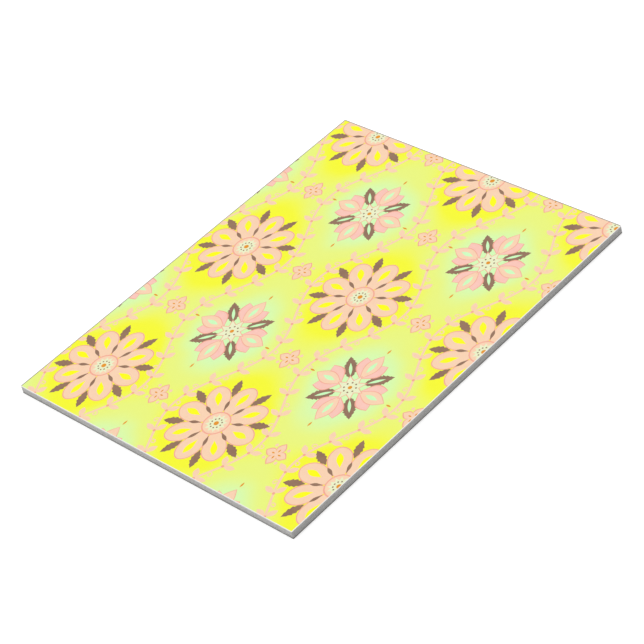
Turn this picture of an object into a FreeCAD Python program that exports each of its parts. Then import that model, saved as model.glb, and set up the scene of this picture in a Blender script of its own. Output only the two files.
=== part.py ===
"""A letter-size writing pad: forty loose sheets on a greyboard back, gummed along one short edge.

The pad lies flat with its printed face up. X runs across the sheets, +Y points at the gummed
edge and +Z up. The origin is in the middle of the pad's footprint, on the surface that it lies
on. All sizes are in millimetres.

The pieces, from the bottom up:
  backing_board   one piece of greyboard, cut to the size of the sheets
  sheet_block     every sheet but the top one, as one solid with each sheet's own cut edge
  top_sheet       the printed sheet that shows
  gum_binding     the flexible film brushed on the bound edge, which holds all of them
"""

import FreeCAD
import Part
import math
import os

# Sheets: US letter, in a common uncoated stock of about 90 grams to the square metre
sheet_width = 215.9
sheet_length = 279.4
sheet_thickness = 0.11
sheet_count = 40

# Greyboard back, cut together with the sheets
board_thickness = 0.7

# The guillotine leaves square corners, which handling softens to this radius
corner_radius = 0.5

# A loose sheet stands back from the trimmed line by at most this much at its three free sides
loosest_setback = 0.12
# Each sheet's share of it follows from this angle, by a rule that lets no bundle of sheets line up
setback_step_angle = math.radians(137.5)

# Padding gum: one film on the bound edge, which stops short of the faces and the corners
gum_thickness = 0.3
gum_face_setback = 0.1
gum_edge_radius = 0.2

node_folder = "parts"

# Places that follow from the sizes
pad_length = sheet_length + gum_thickness
left = -sheet_width / 2
right = sheet_width / 2
free_end = -pad_length / 2
bound_end = free_end + sheet_length
block_bottom = board_thickness
top_sheet_bottom = block_bottom + (sheet_count - 1) * sheet_thickness
pad_top = top_sheet_bottom + sheet_thickness


def slab(x0, x1, y0, y1, z0, z1):
    """A plain block between two corners."""
    return Part.makeBox(x1 - x0, y1 - y0, z1 - z0, FreeCAD.Vector(x0, y0, z0))


def is_upright(edge):
    """True for a straight edge along Z."""
    box = edge.BoundBox
    return box.ZLength > box.XLength + box.YLength


def trimmed_slab(z0, z1):
    """The trimmed outline of the pad between two heights, with its four corners softened."""
    block = slab(left, right, free_end, bound_end, z0, z1)
    return block.makeFillet(corner_radius, [edge for edge in block.Edges if is_upright(edge)])


def setback(number, side):
    """How far a sheet's edge stands back at one of its three free sides, numbered from 1."""
    return loosest_setback * (1 + math.sin(number * (number + side) * setback_step_angle)) / 2


def loose_sheet(number):
    """One sheet of the block, counted from the board, flush only at its bound edge."""
    z0 = block_bottom + number * sheet_thickness
    return slab(
        left + setback(number, 1),
        right - setback(number, 2),
        free_end + setback(number, 3),
        bound_end,
        z0,
        z0 + sheet_thickness,
    )


def backing_board():
    """The stiff back, as large as the trimmed sheets."""
    return trimmed_slab(0, board_thickness)


def sheet_block():
    """All the sheets under the top one, cut at the corners as the whole pad is."""
    sheets = [loose_sheet(number) for number in range(sheet_count - 1)]
    stack = sheets[0].multiFuse(sheets[1:]).removeSplitter()
    return stack.common(trimmed_slab(block_bottom, top_sheet_bottom)).removeSplitter()


def top_sheet():
    """The printed sheet, trimmed flush all round."""
    return trimmed_slab(top_sheet_bottom, pad_top)


def gum_binding():
    """The film on the bound edge, rounded where the brush left off."""
    film = slab(
        left + corner_radius,
        right - corner_radius,
        bound_end,
        bound_end + gum_thickness,
        gum_face_setback,
        pad_top - gum_face_setback,
    )
    outer = [edge for edge in film.Edges if edge.BoundBox.YMin > bound_end + gum_thickness / 2]
    return film.makeFillet(gum_edge_radius, outer)


def export(name, shape):
    """Writes one piece, which has to be a single closed solid."""
    assert shape.isValid() and len(shape.Solids) == 1, name
    shape.Solids[0].exportStep(os.path.join(node_folder, name + ".step"))


os.makedirs(node_folder, exist_ok=True)
export("backing_board", backing_board())
export("sheet_block", sheet_block())
export("top_sheet", top_sheet())
export("gum_binding", gum_binding())
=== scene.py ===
"""A letter-size gummed notepad with a printed top sheet, lying on a white studio floor.

Everything is in metres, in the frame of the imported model: X across the sheets, +Y towards the
gummed edge, +Z up, and the floor at z = 0.
"""

import cmath
import math

import bpy
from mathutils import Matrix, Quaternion, Vector, noise
from mathutils.geometry import delaunay_2d_cdt


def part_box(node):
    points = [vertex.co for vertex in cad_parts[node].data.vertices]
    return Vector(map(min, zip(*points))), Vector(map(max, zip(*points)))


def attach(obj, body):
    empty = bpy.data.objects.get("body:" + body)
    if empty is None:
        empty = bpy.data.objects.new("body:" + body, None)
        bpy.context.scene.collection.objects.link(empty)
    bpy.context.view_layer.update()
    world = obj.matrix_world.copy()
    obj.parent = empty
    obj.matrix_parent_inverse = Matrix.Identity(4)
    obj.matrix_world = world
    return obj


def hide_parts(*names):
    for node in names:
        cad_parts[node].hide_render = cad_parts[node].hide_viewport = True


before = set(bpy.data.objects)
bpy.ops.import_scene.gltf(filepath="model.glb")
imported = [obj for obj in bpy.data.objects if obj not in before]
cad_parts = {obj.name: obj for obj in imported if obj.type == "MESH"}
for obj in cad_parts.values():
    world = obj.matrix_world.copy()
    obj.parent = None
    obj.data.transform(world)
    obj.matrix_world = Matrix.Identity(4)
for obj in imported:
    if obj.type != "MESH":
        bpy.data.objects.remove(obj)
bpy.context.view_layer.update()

MM = 0.001
TURN = 2 * math.pi

# Sizes of the real pad that its finishes need
SHEET_THICKNESS = 0.11 * MM
SHEETS_IN_BLOCK = 39
CORNER_RADIUS = 0.5 * MM
LOOSEST_SETBACK = 0.12 * MM

# The print's repeat in millimetres: one daisy and one tulip cross in each, half a repeat apart
REPEAT_X = 92.0
REPEAT_Y = 119.0
PRINT_SHIFT = Vector((15.0 * MM, 17.0 * MM, 0.0))
# Every finish of the top sheet, in the order of its material slots; the last is a dark ink painted along the
# far rims as shade
INKS = ("ground", "peach", "pink", "salmon", "brown", "cream", "mint", "orange", "bare", "painted_shade")


# Helpers for meshes

def edit(obj, kind="FACE", wanted=None):
    """Goes into edit mode with the faces or edges selected for which wanted is true, or else with none."""
    bpy.ops.object.select_all(action="DESELECT")
    obj.select_set(True)
    bpy.context.view_layer.objects.active = obj
    bpy.ops.object.mode_set(mode="EDIT")
    bpy.ops.mesh.select_mode(type=kind)
    bpy.ops.mesh.select_all(action="DESELECT")
    if wanted:
        bpy.ops.object.mode_set(mode="OBJECT")
        for member in obj.data.polygons if kind == "FACE" else obj.data.edges:
            member.select = wanted(member)
        bpy.ops.object.mode_set(mode="EDIT")


def leave_edit_mode():
    """Ends the work on a mesh."""
    bpy.ops.object.mode_set(mode="OBJECT")


def new_box(name, low, high):
    """A box between two corners that a piece is shaped from, with its place in its mesh."""
    bpy.ops.object.select_all(action="DESELECT")
    bpy.ops.mesh.primitive_cube_add(size=1, location=(low + high) / 2)
    obj = bpy.context.object
    obj.name = obj.data.name = name
    obj.scale = high - low
    bpy.ops.object.transform_apply(location=True, rotation=True, scale=True)
    return obj


def wear(obj, *materials):
    """Gives the piece its material slots, before its faces choose among them."""
    for material in materials:
        obj.data.materials.append(material)


# Helpers for materials

def linear(colour):
    """An sRGB colour such as #FFCC00 as linear red, green, blue and alpha."""
    shares = [int(colour[i:i + 2], 16) / 255 for i in (1, 3, 5)]
    return [c / 12.92 if c <= 0.04045 else ((c + 0.055) / 1.055) ** 2.4 for c in shares] + [1.0]


def add(tree, kind, values=None, links=None, **settings):
    """Adds a node with its settings, the constants of its inputs and the outputs linked to them."""
    made = tree.nodes.new("ShaderNode" + kind)
    for name, value in settings.items():
        setattr(made, name, value)
    for socket, value in (values or {}).items():
        made.inputs[socket].default_value = value
    for socket, output in (links or {}).items():
        tree.links.new(output, made.inputs[socket])
    return made


def new_material(name):
    """An empty material and its node tree."""
    material = bpy.data.materials.new(name)
    material.use_nodes = True
    material.node_tree.nodes.clear()
    return material, material.node_tree


def finish_paper(tree, place, colour_output, roughness):
    """Uncoated wood-free paper: fibres on its face, no shine to speak of."""
    # Fibres are about 0.03 mm wide. They are drawn 0.25 mm wide, so that they show in a close view.
    fibre_width = 0.25 * MM
    fibre_height = 0.006 * MM
    along_grain = add(tree, "Mapping", {"Scale": (1.0, 0.3, 1.0)}, {"Vector": place})
    fibres = add(tree, "TexNoise", {"Scale": 1 / fibre_width, "Detail": 3.0},
                 {"Vector": along_grain.outputs["Vector"]})
    relief = add(tree, "Bump", {"Strength": 0.4, "Distance": fibre_height}, {"Height": fibres.outputs["Fac"]})
    surface = add(tree, "BsdfPrincipled", {"Roughness": roughness, "Specular IOR Level": 0.15},
                  {"Base Color": colour_output, "Normal": relief.outputs["Normal"]})
    add(tree, "OutputMaterial", None, {"Surface": surface.outputs["BSDF"]})


def paper(name, colour, thick_colour, roughness=0.85):
    """Paper, bare or under one flat ink, a little deeper in tone where its fibres lie thicker."""
    material, tree = new_material(name)
    place = add(tree, "TexCoord").outputs["Object"]
    # The look-through of such stock clouds over about 5 mm
    clouds = add(tree, "TexNoise", {"Scale": 1 / (5 * MM), "Detail": 4.0}, {"Vector": place})
    share = add(tree, "MapRange", {"From Min": 0.35, "From Max": 0.65}, {"Value": clouds.outputs["Fac"]})
    tone = add(tree, "MixRGB", {"Color1": linear(colour), "Color2": linear(thick_colour)},
               {"Fac": share.outputs["Result"]})
    finish_paper(tree, place, tone.outputs["Color"], roughness)
    return material


def ground_print():
    """The print's ground: a wash from mint through lime to yellow, which follows the repeat."""
    material, tree = new_material("paper_printed_ground_wash")
    place = add(tree, "TexCoord").outputs["Object"]
    # The wash's edges wander by about 9 mm, as wet colour does
    wander = 9 * MM
    eddies = add(tree, "TexNoise", {"Scale": 1 / (38 * MM), "Detail": 2.0}, {"Vector": place})
    centred = add(tree, "VectorMath", {1: (0.5, 0.5, 0.5)}, {0: eddies.outputs["Color"]},
                  operation="SUBTRACT")
    bent = add(tree, "VectorMath", {1: (2 * wander,) * 3, 2: tuple(-PRINT_SHIFT)},
               {0: centred.outputs["Vector"]}, operation="MULTIPLY_ADD")
    moved = add(tree, "VectorMath", None, {0: bent.outputs["Vector"], 1: place}, operation="ADD")
    apart = add(tree, "SeparateXYZ", None, {"Vector": moved.outputs["Vector"]})
    waves = []
    for axis, repeat in (("X", REPEAT_X), ("Y", REPEAT_Y)):
        angle = add(tree, "Math", {1: TURN / (repeat * MM)}, {0: apart.outputs[axis]}, operation="MULTIPLY")
        waves.append(add(tree, "Math", None, {0: angle.outputs["Value"]}, operation="COSINE"))
    both = add(tree, "Math", None, {0: waves[0].outputs["Value"], 1: waves[1].outputs["Value"]},
               operation="ADD")
    share = add(tree, "MapRange", {"From Min": -1.6, "From Max": 1.6}, {"Value": both.outputs["Value"]})
    wash = add(tree, "ValToRGB", None, {"Fac": share.outputs["Result"]})
    ramp = wash.color_ramp
    ramp.interpolation = "EASE"
    stops = ((0.0, "#D4FBB8"), (0.42, "#EAF680"), (0.72, "#F6F936"), (1.0, "#FFFE0C"))
    while len(ramp.elements) < len(stops):
        ramp.elements.new(0.5)
    for element, (position, colour) in zip(ramp.elements, stops):
        element.position = position
        element.color = linear(colour)
    finish_paper(tree, place, wash.outputs["Color"], 0.8)
    return material


def page_edges():
    """The trimmed edges of a stack of sheets: each sheet a shade of its own, greyed a little as painted shade
    for the gaps between.
    """
    material, tree = new_material("paper_trimmed_edges")
    place = add(tree, "TexCoord").outputs["Object"]
    # Five sheets are taken together, because one is too thin to show
    lay = add(tree, "Mapping", {"Scale": (1 / (30 * MM), 1 / (30 * MM), 1 / (5 * SHEET_THICKNESS))},
              {"Vector": place})
    shades = add(tree, "TexNoise", {"Scale": 1.0, "Detail": 2.0}, {"Vector": lay.outputs["Vector"]})
    share = add(tree, "MapRange", {"From Min": 0.3, "From Max": 0.7}, {"Value": shades.outputs["Fac"]})
    tone = add(tree, "MixRGB", {"Color1": linear("#E7E6E5"), "Color2": linear("#F2F1EF")},
               {"Fac": share.outputs["Result"]})
    # Painted shade: the edges darken towards the floor, from their full tone at 4.9 mm to 0.71 of it at 1.2
    # mm and below
    height = add(tree, "SeparateXYZ", None, {"Vector": place})
    painted_shade_factor = add(tree, "MapRange", {"From Min": 1.2 * MM, "From Max": 4.9 * MM, "To Min": 0.71, "To Max": 1.0},
                {"Value": height.outputs["Z"]})
    painted_shade = add(tree, "VectorMath", None, {0: tone.outputs["Color"], "Scale": painted_shade_factor.outputs["Result"]},
                 operation="SCALE")
    finish_paper(tree, place, painted_shade.outputs["Vector"], 0.9)
    return material


def greyboard(name, fibre_colour, fleck_colour, stretch):
    """Greyboard pressed from recycled fibre: grey, matt, with darker and paler flecks."""
    material, tree = new_material(name)
    place = add(tree, "TexCoord").outputs["Object"]
    laid = add(tree, "Mapping", {"Scale": stretch}, {"Vector": place})
    # Flecks of old print and bark are 0.5 to 1 mm long
    flecks = add(tree, "TexNoise", {"Scale": 1 / (0.8 * MM), "Detail": 4.0, "Roughness": 0.7},
                 {"Vector": laid.outputs["Vector"]})
    share = add(tree, "MapRange", {"From Min": 0.35, "From Max": 0.65}, {"Value": flecks.outputs["Fac"]})
    tone = add(tree, "MixRGB", {"Color1": linear(fibre_colour), "Color2": linear(fleck_colour)},
               {"Fac": share.outputs["Result"]})
    relief = add(tree, "Bump", {"Strength": 0.5, "Distance": 0.03 * MM}, {"Height": flecks.outputs["Fac"]})
    surface = add(tree, "BsdfPrincipled", {"Roughness": 0.95, "Specular IOR Level": 0.1},
                  {"Base Color": tone.outputs["Color"], "Normal": relief.outputs["Normal"]})
    add(tree, "OutputMaterial", None, {"Surface": surface.outputs["BSDF"]})
    return material


def padding_gum():
    """White padding gum, a vinyl glue brushed on and dried: milky, rubbery, softly shiny."""
    material, tree = new_material("pva_padding_gum")
    place = add(tree, "TexCoord").outputs["Object"]
    # Brush marks run along the edge, about 0.6 mm apart, and the film is greyer where it is thin
    strokes = add(tree, "Mapping", {"Scale": (0.03, 1.0, 1.0)}, {"Vector": place})
    marks = add(tree, "TexNoise", {"Scale": 1 / (0.6 * MM), "Detail": 3.0},
                {"Vector": strokes.outputs["Vector"]})
    pools = add(tree, "TexNoise", {"Scale": 1 / (9 * MM), "Detail": 1.0}, {"Vector": place})
    depth = add(tree, "Math", None, {0: marks.outputs["Fac"], 1: pools.outputs["Fac"]}, operation="ADD")
    share = add(tree, "MapRange", {"From Min": 0.75, "From Max": 1.2}, {"Value": depth.outputs["Value"]})
    tone = add(tree, "MixRGB", {"Color1": linear("#D9D6CD"), "Color2": linear("#F6F4EF")},
               {"Fac": share.outputs["Result"]})
    relief = add(tree, "Bump", {"Strength": 0.8, "Distance": 0.06 * MM}, {"Height": marks.outputs["Fac"]})
    surface = add(tree, "BsdfPrincipled", {"Roughness": 0.3, "IOR": 1.47},
                  {"Base Color": tone.outputs["Color"], "Normal": relief.outputs["Normal"]})
    add(tree, "OutputMaterial", None, {"Surface": surface.outputs["BSDF"]})
    return material


# Shapes of the print. An outline is a list of complex numbers, x + y j, in millimetres.

def leaf(length, width, belly=1.0, fullness=1.0, teeth=0):
    """A leaf or petal from 0 along +X. Belly over 1 widens its far half, fullness under 1 rounds its ends."""
    steps = 4 * teeth or 24
    side = []
    for step in range(steps + 1):
        # A smooth outline has more points towards its ends, which are round
        along = step / steps if teeth else (1 - math.cos(math.pi * step / steps)) / 2
        bite = 1 - 0.35 * (along * teeth % 1)
        half_width = width / 2 * max(0.0, math.sin(math.pi * along ** belly)) ** fullness * bite
        side.append(complex(along * length, half_width))
    return side + [point.conjugate() for point in side[-2:0:-1]]


def disc(radius, sides=24):
    """A round spot."""
    return [cmath.rect(radius, TURN * side / sides) for side in range(sides)]


def star(rays, tip_radius, notch_radius):
    """A star with straight rays, the first along +X."""
    return [cmath.rect(notch_radius if corner % 2 else tip_radius, TURN * corner / (2 * rays))
            for corner in range(2 * rays)]


def line(path, width):
    """A line of that width along a path."""
    left, right = [], []
    for number, here in enumerate(path):
        before = path[max(number - 1, 0)]
        after = path[min(number + 1, len(path) - 1)]
        across = 1j * (after - before) / abs(after - before) * width / 2
        left.append(here + across)
        right.append(here - across)
    return left + right[::-1]


def curl(radius, turns):
    """The path of a tendril that leaves 0 along +X and winds in to the left."""
    steps = 20
    path = []
    for step in range(steps + 1):
        along = step / steps
        path.append(1j * radius + cmath.rect(radius * (1 - 0.75 * along), TURN * (along * turns - 0.25)))
    return path


def anticlockwise(outline):
    """The outline with its inside on the left of its way round."""
    sides = zip(outline, outline[1:] + outline[:1])
    doubled_area = sum((here.conjugate() * after).imag for here, after in sides)
    return outline if doubled_area > 0 else outline[::-1]


def around(outline, count, distance=0.0, phase=0.0):
    """Copies of an outline in a circle, each moved out by the distance."""
    turns = [cmath.rect(1, TURN * (number + phase) / count) for number in range(count)]
    return [[(point + distance) * turn for point in outline] for turn in turns]


def inked(ink, outlines):
    """Outlines with their ink."""
    return [(ink, outline) for outline in outlines]


def placed(motif, place, stretch=1.0):
    """A motif moved to its place and stretched along Y."""
    return [(ink, [complex(point.real, point.imag * stretch) + place for point in outline])
            for ink, outline in motif]


def daisy():
    """Eight round petals with windows in them, toothed sepals between, and an eye of seeds."""
    return (
        inked("brown", around(leaf(12.5, 5.4, teeth=5), 8, 18.2, 0.5))
        + inked("salmon", around(leaf(23.2, 13.4, belly=1.5, fullness=0.52), 8, 4.0))
        + inked("peach", around(leaf(22.2, 12.3, belly=1.5, fullness=0.52), 8, 4.4))
        + inked("ground", around(leaf(10.6, 3.7, belly=1.3), 8, 12.4))
        + inked("brown", around(leaf(7.6, 2.0, belly=1.4), 8, 8.2, 0.5))
        + inked("salmon", [disc(7.9)])
        + inked("peach", [disc(7.1)])
        + inked("cream", [star(12, 6.1, 4.2)])
        + inked("brown", around(disc(0.5, 8), 10, 3.1))
        + inked("orange", [disc(1.4, 14)])
    )


def tulip_cross():
    """Four tulips about a star, with a toothed leaf between each pair."""
    lean = cmath.rect(1, math.radians(30))
    outer = leaf(15.0, 7.6, belly=1.3)
    edged = leaf(15.8, 8.6, belly=1.3)
    return (
        inked("brown", around(leaf(16.5, 8.2, belly=0.9, teeth=8), 4, 6.8, 0.5))
        + inked("mint", around(leaf(9.5, 1.8), 4, 9.0, 0.5))
        + inked("salmon", around([point * lean for point in edged], 4, 6.4))
        + inked("salmon", around([point / lean for point in edged], 4, 6.4))
        + inked("pink", around([point * lean for point in outer], 4, 6.8))
        + inked("pink", around([point / lean for point in outer], 4, 6.8))
        + inked("salmon", around(leaf(18.6, 9.0, belly=1.1), 4, 6.4))
        + inked("peach", around(leaf(17.6, 8.0, belly=1.1), 4, 6.9))
        + inked("mint", around(leaf(8.5, 2.6), 4, 11.5))
        + inked("orange", around(leaf(3.6, 1.1), 4, 26.5))
        + inked("salmon", [star(8, 9.2, 5.2)])
        + inked("cream", [star(8, 8.2, 4.6)])
        + inked("brown", around(disc(0.55, 8), 8, 3.4, 0.5))
        + inked("orange", [disc(1.2, 12)])
    )


def bud():
    """A small lozenge of four petals, where two vines come close."""
    return (
        inked("salmon", around(leaf(7.3, 5.4), 4))
        + inked("peach", around(leaf(6.6, 4.4), 4))
        + inked("orange", around(leaf(2.2, 0.9), 4, 1.1))
        + inked("peach", around(disc(1.0, 12), 4, 6.2, 0.5))
    )


def vine(side):
    """One wavy vine up the repeat, with pairs of leaves and tendrils. Side is 1 or -1."""
    sway = 10.0
    pairs = 8

    def point_at(y):
        return complex(side * (REPEAT_X / 4 + sway * math.cos(TURN * y / REPEAT_Y)), y)

    steps = 72
    reach = REPEAT_Y * 0.56
    path = [point_at(reach * (2 * step / steps - 1)) for step in range(steps + 1)]
    shapes = [("peach", line(path, 1.5))]
    for number in range(-1, pairs + 1):
        y = REPEAT_Y * ((number + 0.5) / pairs - 0.5)
        here = point_at(y)
        ahead = point_at(y + 0.1) - here
        ahead /= abs(ahead)
        for lean in (-50, 50):
            turn = ahead * cmath.rect(1, math.radians(lean))
            shapes.append(("peach", [here + point * turn for point in leaf(7.8, 3.7, belly=1.15)]))
        # Tendrils leave the vine on either side in turn, halfway between two pairs of leaves
        start = point_at(y + REPEAT_Y / pairs / 2)
        tendril = curl(2.0, 1.1)
        if number % 2:
            tendril = [point.conjugate() for point in tendril]
        shapes.append(("peach", line([start + point * ahead for point in tendril], 0.7)))
        shapes.append(("salmon", [here + point for point in disc(0.9, 10)]))
    return shapes


def one_repeat():
    """Every outline of one repeat, from the ground up. What passes its border is cut off later."""
    half = complex(REPEAT_X, REPEAT_Y) / 2
    corners = [complex(x, y) for x in (-half.real, half.real) for y in (-half.imag, half.imag)]
    shapes = [("ground", [corners[0], corners[2], corners[3], corners[1]])]
    shapes += vine(1) + vine(-1)
    shapes += placed(daisy(), 0, 1.16)
    for corner in corners:
        shapes += placed(tulip_cross(), corner, 1.16)
    for y in (-half.imag, half.imag):
        shapes += placed(bud(), complex(0, y), 1.2)
    for x in (-half.real, half.real):
        shapes += placed(bud(), complex(x, 0), 1.2)
    return shapes


def printed_repeat(finishes):
    """One repeat as a flat mesh, with no faces on each other: what was inked last shows."""
    points, outlines, inks = [], [], []
    for ink, shape in one_repeat():
        outline = anticlockwise(shape)
        outlines.append(list(range(len(points), len(points) + len(outline))))
        points += [Vector((point.real, point.imag)) for point in outline]
        inks.append(INKS.index(ink))
    flat, _, faces, _, _, sources = delaunay_2d_cdt(points, [], outlines, 1, 1e-5, True)
    mesh = bpy.data.meshes.new("printed_sheet")
    mesh.from_pydata([Vector((point.x, point.y, 0)) * MM for point in flat], [], faces)
    obj = bpy.data.objects.new("printed_sheet", mesh)
    bpy.context.collection.objects.link(obj)
    wear(obj, *finishes)
    for face, lying_in in zip(mesh.polygons, sources):
        face.material_index = inks[max(lying_in, default=0)]
    return obj


def cut(obj, place, normal, drop=True):
    """Cuts the mesh at a plane, and drops what lies beyond it."""
    edit(obj)
    bpy.ops.mesh.select_all(action="SELECT")
    bpy.ops.mesh.bisect(plane_co=place, plane_no=normal, clear_outer=drop, threshold=0.0005 * MM)
    leave_edit_mode()


def repeat_print(obj, copies_x, copies_y):
    """Trims the repeat at its own border and lays copies of it side by side."""
    for axis, repeat in ((0, REPEAT_X), (1, REPEAT_Y)):
        for way in (-1, 1):
            normal = Vector((0, 0, 0))
            normal[axis] = way
            cut(obj, normal * repeat * MM / 2, normal)
    for axis, repeat, copies in ((0, REPEAT_X, copies_x), (1, REPEAT_Y, copies_y)):
        array = obj.modifiers.new("repeat", "ARRAY")
        array.count = copies
        array.use_relative_offset = False
        array.use_constant_offset = True
        step = [0, 0, 0]
        step[axis] = repeat * MM
        array.constant_offset_displace = step
        array.use_merge_vertices = True
        array.merge_threshold = 0.002 * MM
        bpy.ops.object.modifier_apply(modifier=array.name)


def make_top_sheet(finishes):
    """The printed sheet: its print, a hairline round it, its cut edge and its underside. The hairline is bare
    paper on the near sides, put there as a painted highlight of the lit edge, and a dark ink on the far sides
    as painted shade.
    """
    low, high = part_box("top_sheet")
    obj = printed_repeat(finishes)
    copies = 4
    repeat_print(obj, copies, copies)
    obj.location = PRINT_SHIFT - Vector((REPEAT_X, REPEAT_Y, 0)) * MM * (copies / 2) + Vector((0, 0, high.z))
    bpy.ops.object.transform_apply(location=True, rotation=False, scale=False)

    # The trim at the four sides, and a hairline inside them: bare paper on the near sides as a painted
    # highlight of the lit edge, dark ink on the far sides as painted shade
    hairline = 0.55 * MM
    for corner, way in ((low, -1), (high, 1)):
        for axis in (0, 1):
            normal = Vector((0, 0, 0))
            normal[axis] = way
            cut(obj, corner, normal)
            cut(obj, corner - normal * hairline, normal, drop=False)
    # The corners are rounded by cuts along their arcs
    for side_x in (-1, 1):
        for side_y in (-1, 1):
            corner = Vector((high.x if side_x > 0 else low.x, high.y if side_y > 0 else low.y, 0))
            centre = corner - Vector((side_x, side_y, 0)) * CORNER_RADIUS
            for angle in (22.5, 45.0, 67.5):
                turned = math.radians(angle)
                normal = Vector((side_x * math.cos(turned), side_y * math.sin(turned), 0))
                cut(obj, centre + normal * CORNER_RADIUS, normal)
    # Near sides get bare paper as painted highlight, far sides the dark ink of painted shade
    near = INKS.index("bare")
    far = INKS.index("painted_shade")
    for face in obj.data.polygons:
        if face.center.x > high.x - hairline or face.center.y < low.y + hairline:
            face.material_index = near
        elif face.center.x < low.x + hairline or face.center.y > high.y - hairline:
            face.material_index = far

    # The cut edge and the underside
    edit(obj, "EDGE")
    bpy.ops.mesh.select_non_manifold()
    bpy.ops.mesh.extrude_region_move(TRANSFORM_OT_translate={"value": (0, 0, low.z - high.z)})
    bpy.ops.mesh.edge_face_add()
    leave_edit_mode()
    for face in obj.data.polygons:
        if face.normal.z < 0.5:
            face.material_index = near
    return obj


def map_top_face(obj, low, high):
    """A map for the exported texture, nearly filled by the printed face."""
    margin = 0.004
    foot = 0.03
    uv = obj.data.uv_layers.new(name="OFBake")
    size = high - low
    for face in obj.data.polygons:
        for corner in face.loop_indices:
            place = obj.data.vertices[obj.data.loops[corner].vertex_index].co - low
            across, along, up = place.x / size.x, place.y / size.y, place.z / size.z
            if face.normal.z > 0.5:
                u = margin + across * (1 - 2 * margin)
                v = foot + margin + along * (1 - foot - 2 * margin)
            elif face.normal.z < -0.5:
                u = margin + across * (0.5 - 2 * margin)
                v = margin + along * (foot - 2 * margin)
            else:
                side = 0 if abs(face.normal.x) > abs(face.normal.y) else 1
                u = 0.5 + margin + (across if side else along) * (0.5 - 2 * margin)
                v = margin + (side + up) / 2 * (foot - 2 * margin)
            uv.data[corner].uv = (u, v)


def sheet_outline(low, high, steps_x, steps_y):
    """The outline of a trimmed sheet, anticlockwise: four sides in steps and four round corners."""
    points = []
    inner_low = low + Vector((CORNER_RADIUS, CORNER_RADIUS, 0))
    inner_high = high - Vector((CORNER_RADIUS, CORNER_RADIUS, 0))
    centres = ((inner_high.x, inner_low.y), (inner_high.x, inner_high.y),
               (inner_low.x, inner_high.y), (inner_low.x, inner_low.y))
    for number, (x, y) in enumerate(centres):
        for part in range(5):
            angle = math.radians(-90 + 90 * number + 22.5 * part)
            on_arc = Vector((math.cos(angle), math.sin(angle), 0)) * CORNER_RADIUS
            points.append(Vector((x, y, 0)) + on_arc)
        after = centres[(number + 1) % 4]
        turned = math.radians(90 * number)
        out = Vector((math.cos(turned), math.sin(turned), 0)) * CORNER_RADIUS
        steps = steps_x if number % 2 else steps_y
        for step in range(1, steps):
            on_side = Vector((x, y, 0)).lerp(Vector((*after, 0)), step / steps)
            points.append(on_side + out)
    return points


def setback(number, side):
    """How far a loose sheet's edge stands back at one of its free sides, as it does in the model."""
    return LOOSEST_SETBACK * (1 + math.sin(number * (number + side) * math.radians(137.5))) / 2


def make_sheet_block(face_paper, edge_paper):
    """The sheets under the top one, each with its own trimmed edge, which is never quite straight."""
    low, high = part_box("sheet_block")
    # A trimmed edge wavers by this much, about once in 33 mm, and a side has enough steps to follow it
    waver = 0.03 * MM
    wavers_per_metre = 30
    steps_across = 24
    steps_along = 30
    sheets = []
    for number in range(SHEETS_IN_BLOCK):
        bottom = low.z + number * SHEET_THICKNESS
        corner_low = Vector((low.x + setback(number, 1), low.y + setback(number, 3), 0))
        corner_high = Vector((high.x - setback(number, 2), high.y, 0))
        outline = sheet_outline(corner_low, corner_high, steps_across, steps_along)
        bpy.ops.object.select_all(action="DESELECT")
        bpy.ops.mesh.primitive_circle_add(vertices=len(outline), fill_type="NGON")
        sheet = bpy.context.object
        for vertex, point in zip(sheet.data.vertices, outline):
            bound = point.y > high.y - CORNER_RADIUS
            wave = noise.noise(Vector((point.x, point.y, number)) * wavers_per_metre)
            drift = 0 if bound else waver * (1 - wave)
            inwards = Vector((-point.x, -point.y, 0)).normalized()
            vertex.co = point + inwards * drift + Vector((0, 0, bottom))
        edit(sheet)
        bpy.ops.mesh.select_all(action="SELECT")
        bpy.ops.mesh.extrude_region_move(TRANSFORM_OT_translate={"value": (0, 0, SHEET_THICKNESS)})
        bpy.ops.mesh.select_all(action="SELECT")
        bpy.ops.mesh.normals_make_consistent(inside=False)
        leave_edit_mode()
        sheets.append(sheet)
    bpy.ops.object.select_all(action="DESELECT")
    for sheet in sheets:
        sheet.select_set(True)
    bpy.context.view_layer.objects.active = sheets[0]
    bpy.ops.object.join()
    obj = bpy.context.object
    obj.name = obj.data.name = "loose_sheets"
    wear(obj, face_paper, edge_paper)
    for face in obj.data.polygons:
        face.material_index = 0 if abs(face.normal.z) > 0.5 else 1
    return obj


def make_backing_board(face_board, edge_board):
    """The greyboard, with its corners rounded and its rims a little crushed by the trimming."""
    low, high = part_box("backing_board")
    crushed_rim = 0.07 * MM
    obj = new_box("greyboard_back", low, high)
    wear(obj, face_board, edge_board)

    def is_upright(edge):
        one, other = (obj.data.vertices[end].co for end in edge.vertices)
        return one.z != other.z

    edit(obj, "EDGE", is_upright)
    bpy.ops.mesh.bevel(offset=CORNER_RADIUS, segments=4, profile=0.5)
    leave_edit_mode()
    edit(obj, "FACE", lambda face: abs(face.normal.z) > 0.5)
    bpy.ops.mesh.region_to_loop()
    bpy.ops.mesh.bevel(offset=crushed_rim, segments=2, profile=0.5)
    leave_edit_mode()
    for face in obj.data.polygons:
        face.material_index = 0 if abs(face.normal.z) > 0.9 else 1
    return obj


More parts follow.
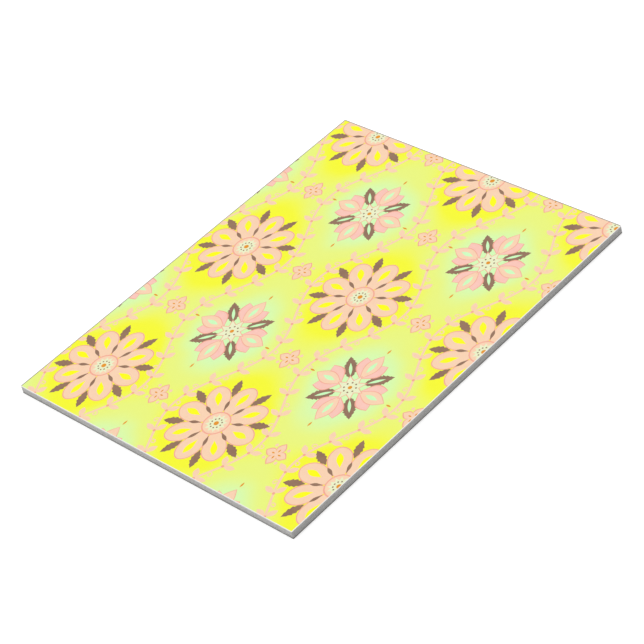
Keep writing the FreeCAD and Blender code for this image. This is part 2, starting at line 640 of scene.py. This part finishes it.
def make_gum_binding(gum):
    """The gum: a thin film that swells between its rims and keeps the ripples of the brush."""
    low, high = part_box("gum_binding")
    size = high - low
    # Shares of the full thickness: at the rims, what the middle has on top, and how much that ripples
    rim_share = 0.2
    swell_share = 0.62
    ripple_share = 0.28
    # The higher the power, the nearer to a rim the film stays level
    power_up = 4
    power_across = 400
    bpy.ops.object.select_all(action="DESELECT")
    columns, rows = 300, 12
    bpy.ops.mesh.primitive_grid_add(x_subdivisions=columns, y_subdivisions=rows, size=1)
    obj = bpy.context.object
    obj.name = obj.data.name = "gum_film"
    wear(obj, gum)
    for vertex in obj.data.vertices:
        across, up = vertex.co.x + 0.5, vertex.co.y + 0.5
        x, z = low.x + across * size.x, low.z + up * size.z
        swell = (1 - (2 * up - 1) ** power_up) * (1 - (2 * across - 1) ** power_across)
        ripple = noise.noise(Vector((x / (14 * MM), z / (1.4 * MM), 0.0)))
        thickness = size.y * (rim_share + swell_share * swell * (1 + ripple_share * ripple))
        vertex.co = (x, low.y + min(thickness, size.y), z)
    edit(obj, "EDGE")
    bpy.ops.mesh.select_non_manifold()
    bpy.ops.mesh.extrude_region_move()
    leave_edit_mode()
    for vertex in obj.data.vertices:
        if vertex.select:
            vertex.co.y = low.y
    bpy.ops.object.mode_set(mode="EDIT")
    bpy.ops.mesh.edge_face_add()
    bpy.ops.mesh.select_all(action="SELECT")
    bpy.ops.mesh.normals_make_consistent(inside=False)
    leave_edit_mode()
    bpy.ops.object.select_all(action="DESELECT")
    obj.select_set(True)
    bpy.ops.object.shade_smooth_by_angle(angle=math.radians(40))
    return obj


def studio_floor():
    """A matt floor that looks white but for the pad's shadow, and throws only some light back up."""
    floor_width = 12
    bpy.ops.object.select_all(action="DESELECT")
    bpy.ops.mesh.primitive_plane_add(size=floor_width)
    obj = bpy.context.object
    obj.name = obj.data.name = "studio_floor"
    material, tree = new_material("studio_floor_paint")
    rays = add(tree, "LightPath")
    seen = add(tree, "Math", None, {0: rays.outputs["Is Camera Ray"], 1: rays.outputs["Is Glossy Ray"]},
               operation="MAXIMUM")
    seen = add(tree, "Math", None, {0: seen.outputs["Value"], 1: rays.outputs["Is Transmission Ray"]},
               operation="MAXIMUM")
    grey = add(tree, "BsdfDiffuse", {"Color": linear("#929292")})
    white = add(tree, "BsdfDiffuse", {"Color": linear("#F0F0F0")})
    glow = add(tree, "Emission", {"Strength": 0.3})
    lit = add(tree, "AddShader", None, {0: white.outputs["BSDF"], 1: glow.outputs["Emission"]})
    paint = add(tree, "MixShader", None,
                {"Fac": seen.outputs["Value"], 1: grey.outputs["BSDF"], 2: lit.outputs["Shader"]})
    add(tree, "OutputMaterial", None, {"Surface": paint.outputs["Shader"]})
    wear(obj, material)


def studio_light():
    """Soft light from all round, a broad lamp above the free edge and a weak one low behind the gum."""
    sky_share = 0.36
    fill_share = 0.14
    world = bpy.data.worlds.new("studio")
    bpy.context.scene.world = world
    world.use_nodes = True
    tree = world.node_tree
    tree.nodes.clear()
    rays = add(tree, "LightPath")
    seen = add(tree, "Math", None, {0: rays.outputs["Is Camera Ray"], 1: rays.outputs["Is Glossy Ray"]},
               operation="MAXIMUM")
    seen = add(tree, "Math", None, {0: seen.outputs["Value"], 1: rays.outputs["Is Transmission Ray"]},
               operation="MAXIMUM")
    soft = add(tree, "Background", {"Color": (1, 1, 1, 1), "Strength": sky_share})
    white = add(tree, "Background", {"Color": (1, 1, 1, 1), "Strength": 1.0})
    sky = add(tree, "MixShader", None,
              {"Fac": seen.outputs["Value"], 1: soft.outputs["Background"], 2: white.outputs["Background"]})
    add(tree, "OutputWorld", None, {"Surface": sky.outputs["Shader"]})

    # Each lamp's way from the pad, its width seen from there and its share of the light from above
    lamps = (
        ("broad_lamp", Vector((0.09, -0.29, 0.95)), 50, 1 - sky_share - fill_share),
        ("fill_lamp", Vector((-0.55, 0.75, 0.40)), 30, fill_share),
    )
    for name, way, width, share in lamps:
        lamp = bpy.data.lights.new(name, "SUN")
        lamp.angle = math.radians(width)
        lamp.energy = math.pi * share / way.normalized().z
        obj = bpy.data.objects.new(name, lamp)
        obj.rotation_mode = "QUATERNION"
        obj.rotation_quaternion = way.to_track_quat("Z", "Y")
        bpy.context.collection.objects.link(obj)


def place_camera():
    """The photograph's view: from the right of the free edge, at 40 degrees, through a long lens."""
    place = Vector((0.8204, -0.6350, 0.8537))
    aim = Vector((0.0052, -0.0064, 0.0))
    roll = math.radians(-14.98)
    camera = bpy.data.cameras.new("camera")
    camera.lens = 132.0
    camera.sensor_width = 36.0
    camera.clip_end = 50.0
    obj = bpy.data.objects.new("camera", camera)
    obj.location = place
    obj.rotation_mode = "QUATERNION"
    obj.rotation_quaternion = (aim - place).to_track_quat("-Z", "Y") @ Quaternion((0, 0, 1), roll)
    bpy.context.collection.objects.link(obj)
    bpy.context.scene.camera = obj


bpy.context.scene.view_settings.view_transform = "Standard"
place_camera()
studio_light()
studio_floor()

bare_paper = paper("paper_bare_white", "#F4F3F1", "#EFEEEC")
finishes = {
    "ground": ground_print(),
    "peach": paper("paper_peach_ink", "#FAD5B6", "#F9D2B2", 0.8),
    "pink": paper("paper_pink_ink", "#FBC9BD", "#F9C5B8", 0.8),
    "salmon": paper("paper_salmon_ink", "#F6AE98", "#F3A994", 0.8),
    "brown": paper("paper_brown_ink", "#967660", "#8F6F5A", 0.75),
    "cream": paper("paper_cream_ink", "#EDF2CB", "#EAEFC5", 0.8),
    "mint": paper("paper_mint_ink", "#CFFFC4", "#C9FBBD", 0.8),
    "orange": paper("paper_orange_ink", "#E8992F", "#E2922A", 0.8),
    "bare": bare_paper,
    # The dark ink of the far rims is painted shade along those edges
    "painted_shade": paper("paper_painted_shade_rim", "#93897F", "#8B8178", 0.85),
}
top_sheet = make_top_sheet([finishes[name] for name in INKS])
map_top_face(top_sheet, *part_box("top_sheet"))
sheet_block = make_sheet_block(bare_paper, page_edges())
backing_board = make_backing_board(
    greyboard("greyboard_pressed_face", "#A9A6A1", "#94918C", (1.0, 1.0, 1.0)),
    greyboard("greyboard_cut_edge", "#A5A3A0", "#8F8D8A", (1.0, 1.0, 6.0)),
)
gum_binding = make_gum_binding(padding_gum())

for piece, node, slot in (
    (top_sheet, "top_sheet", "printed_paper"),
    (sheet_block, "sheet_block", "plain_paper"),
    (backing_board, "backing_board", "greyboard"),
    (gum_binding, "gum_binding", "padding_gum"),
):
    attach(piece, "root")
    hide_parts(node)
